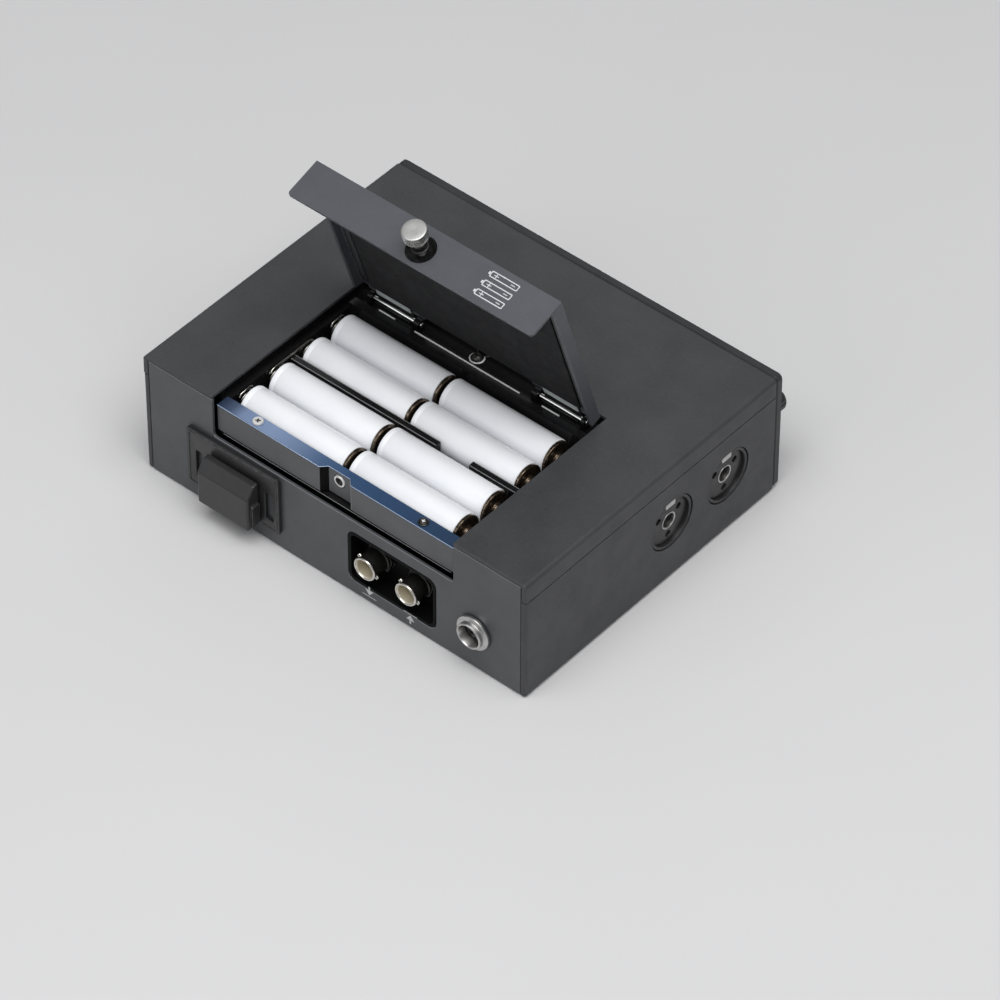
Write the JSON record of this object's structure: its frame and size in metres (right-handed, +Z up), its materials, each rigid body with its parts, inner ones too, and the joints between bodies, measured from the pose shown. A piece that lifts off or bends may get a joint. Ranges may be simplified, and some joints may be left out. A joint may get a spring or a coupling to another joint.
{
  "type": "portable field recorder",
  "caption": "Portable field recorder with an opened battery lid on a rear hinge, AA cells, side input jacks, timecode sockets, front knobs, keys and display.",
  "frame": {"origin": "centre of the flat underside", "axes": "+Z up, -Y out of the front panel (knobs and display), +Y out of the rear panel (battery lid lip and timecode sockets), +X to the right when facing the front panel"},
  "size_m": [0.178, 0.1607, 0.137],
  "materials": {
    "casing": "fine textured powder coat",
    "lid": "fine textured powder coat",
    "lid_pad": "matte closed-cell foam",
    "front_moulding": "fine spark texture",
    "tray": "polished moulding",
    "rail": "satin black with a cold sheen",
    "bright_metal": "bright nickel",
    "steel": "zinc-plated",
    "contact_metal": "nickel-plated spring sheet",
    "cell_wrap": "shrink sleeve",
    "socket_plastic": "polished",
    "cap_rubber": "matte",
    "knob": "fluted",
    "key": "silicone",
    "window": "clear, anti-glare",
    "display": "liquid-crystal panel",
    "board": "solder mask"
  },
  "bodies": {
    "chassis": {"bottom_chassis": "casing", "tripod_insert": "steel", "top_cover": "casing", "left_side_panel": "casing", "right_side_panel": "casing", "rear_panel": "casing", "front_panel": "front_moulding", "battery_tray": "tray", "battery_rail": "rail", "rail_screw_left": "bright_metal", "rail_screw_right": "bright_metal", "thumbscrew_insert": "bright_metal", "battery_cell_1": "cell_wrap", "battery_cell_2": "cell_wrap", "battery_cell_3": "cell_wrap", "battery_cell_4": "cell_wrap", "battery_cell_5": "cell_wrap", "battery_cell_6": "cell_wrap", "battery_cell_7": "cell_wrap", "battery_cell_8": "cell_wrap", "contact_right_row_1": "contact_metal", "contact_right_bridge": "contact_metal", "contact_right_row_4": "contact_metal", "contact_left_bridge_1": "contact_metal", "contact_left_bridge_2": "contact_metal", "hinge_rod_left": "bright_metal", "hinge_rod_right": "bright_metal", "bnc_bezel": "socket_plastic", "timecode_in_socket": "bright_metal", "timecode_out_socket": "bright_metal", "multipin_socket": "socket_plastic", "dc_socket": "steel", "display_lens": "window", "display_module": "display", "headphone_jack": "steel", "input_jack_1": "socket_plastic", "input_jack_2": "socket_plastic", "input_jack_3": "socket_plastic", "input_jack_4": "socket_plastic", "main_board": "board"},
    "battery_door": {"battery_door": "lid", "battery_door_pad": "lid_pad"},
    "thumbscrew_slide": {"thumbscrew_washer": "bright_metal"},
    "thumbscrew": {"battery_thumbscrew": "bright_metal"},
    "gain_knob_1": {"gain_knob_1": "knob"},
    "gain_knob_2": {"gain_knob_2": "knob"},
    "gain_knob_3": {"gain_knob_3": "knob"},
    "gain_knob_4": {"gain_knob_4": "knob"},
    "headphone_knob": {"headphone_knob": "knob"},
    "select_dial": {"select_dial": "knob"},
    "rewind_key": {"rewind_key": "key"},
    "stop_key": {"stop_key": "key"},
    "forward_key": {"forward_key": "key"},
    "play_key": {"play_key": "key"},
    "record_key": {"record_key": "key"},
    "power_key": {"power_key": "key"},
    "menu_key": {"menu_key": "key"},
    "slate_key": {"slate_key": "key"},
    "multipin_cap": {"multipin_cap": "cap_rubber"},
    "card_door": {"card_door": "cap_rubber"}
  },
  "joints": [
    {"name": "battery_door_hinge", "type": "hinge", "parent": "chassis", "child": "battery_door", "pos_m": [0, -0.0079, 0.0518], "axis": [1, 0, 0], "range_deg": [-72.5, 32.5]},
    {"name": "thumbscrew_feed", "type": "slide", "parent": "battery_door", "child": "thumbscrew_slide", "axis": [0, -0.3007, -0.9537], "range_m": [0, 0.0025]},
    {"name": "thumbscrew_turn", "type": "hinge", "parent": "thumbscrew_slide", "child": "thumbscrew", "pos_m": [0, 0.0208, 0.12087], "axis": [0, -0.3007, -0.9537], "range_deg": [0, 1800]},
    {"name": "gain_knob_1_turn", "type": "hinge", "parent": "chassis", "child": "gain_knob_1", "pos_m": [0, -0.07, 0.031], "axis": [0, 1, 0], "range_deg": [-150, 150]},
    {"name": "gain_knob_2_turn", "type": "hinge", "parent": "chassis", "child": "gain_knob_2", "pos_m": [0.0195, -0.07, 0.031], "axis": [0, 1, 0], "range_deg": [-150, 150]},
    {"name": "gain_knob_3_turn", "type": "hinge", "parent": "chassis", "child": "gain_knob_3", "pos_m": [0.039, -0.07, 0.031], "axis": [0, 1, 0], "range_deg": [-150, 150]},
    {"name": "gain_knob_4_turn", "type": "hinge", "parent": "chassis", "child": "gain_knob_4", "pos_m": [0.0585, -0.07, 0.031], "axis": [0, 1, 0], "range_deg": [-150, 150]},
    {"name": "headphone_knob_turn", "type": "hinge", "parent": "chassis", "child": "headphone_knob", "pos_m": [-0.0785, -0.07, 0.0295], "axis": [0, 1, 0], "range_deg": [-150, 150]},
    {"name": "select_dial_turn", "type": "hinge", "parent": "chassis", "child": "select_dial", "pos_m": [0.074, -0.07, 0.016], "axis": [0, 1, 0], "continuous": true},
    {"name": "rewind_key_press", "type": "slide", "parent": "chassis", "child": "rewind_key", "axis": [0, 1, 0], "range_m": [0, 0.0008]},
    {"name": "stop_key_press", "type": "slide", "parent": "chassis", "child": "stop_key", "axis": [0, 1, 0], "range_m": [0, 0.0008]},
    {"name": "forward_key_press", "type": "slide", "parent": "chassis", "child": "forward_key", "axis": [0, 1, 0], "range_m": [0, 0.0008]},
    {"name": "play_key_press", "type": "slide", "parent": "chassis", "child": "play_key", "axis": [0, 1, 0], "range_m": [0, 0.0008]},
    {"name": "record_key_press", "type": "slide", "parent": "chassis", "child": "record_key", "axis": [0, 1, 0], "range_m": [0, 0.0008]},
    {"name": "power_key_press", "type": "slide", "parent": "chassis", "child": "power_key", "axis": [0, 1, 0], "range_m": [0, 0.0008]},
    {"name": "menu_key_press", "type": "slide", "parent": "chassis", "child": "menu_key", "axis": [0, 1, 0], "range_m": [0, 0.0008]},
    {"name": "slate_key_press", "type": "slide", "parent": "chassis", "child": "slate_key", "axis": [0, 1, 0], "range_m": [0, 0.0008]},
    {"name": "multipin_cap_pull", "type": "slide", "parent": "chassis", "child": "multipin_cap", "axis": [0, 1, 0], "range_m": [0, 0.014]},
    {"name": "card_door_hinge", "type": "hinge", "parent": "chassis", "child": "card_door", "pos_m": [0.0877, 0.04, 0.0152], "axis": [0, 1, 0], "range_deg": [0, 90]}
  ],
  "couplings": [
    {"joint": "thumbscrew_turn", "follows": "thumbscrew_feed", "rad_per_m": 12566}
  ]
}
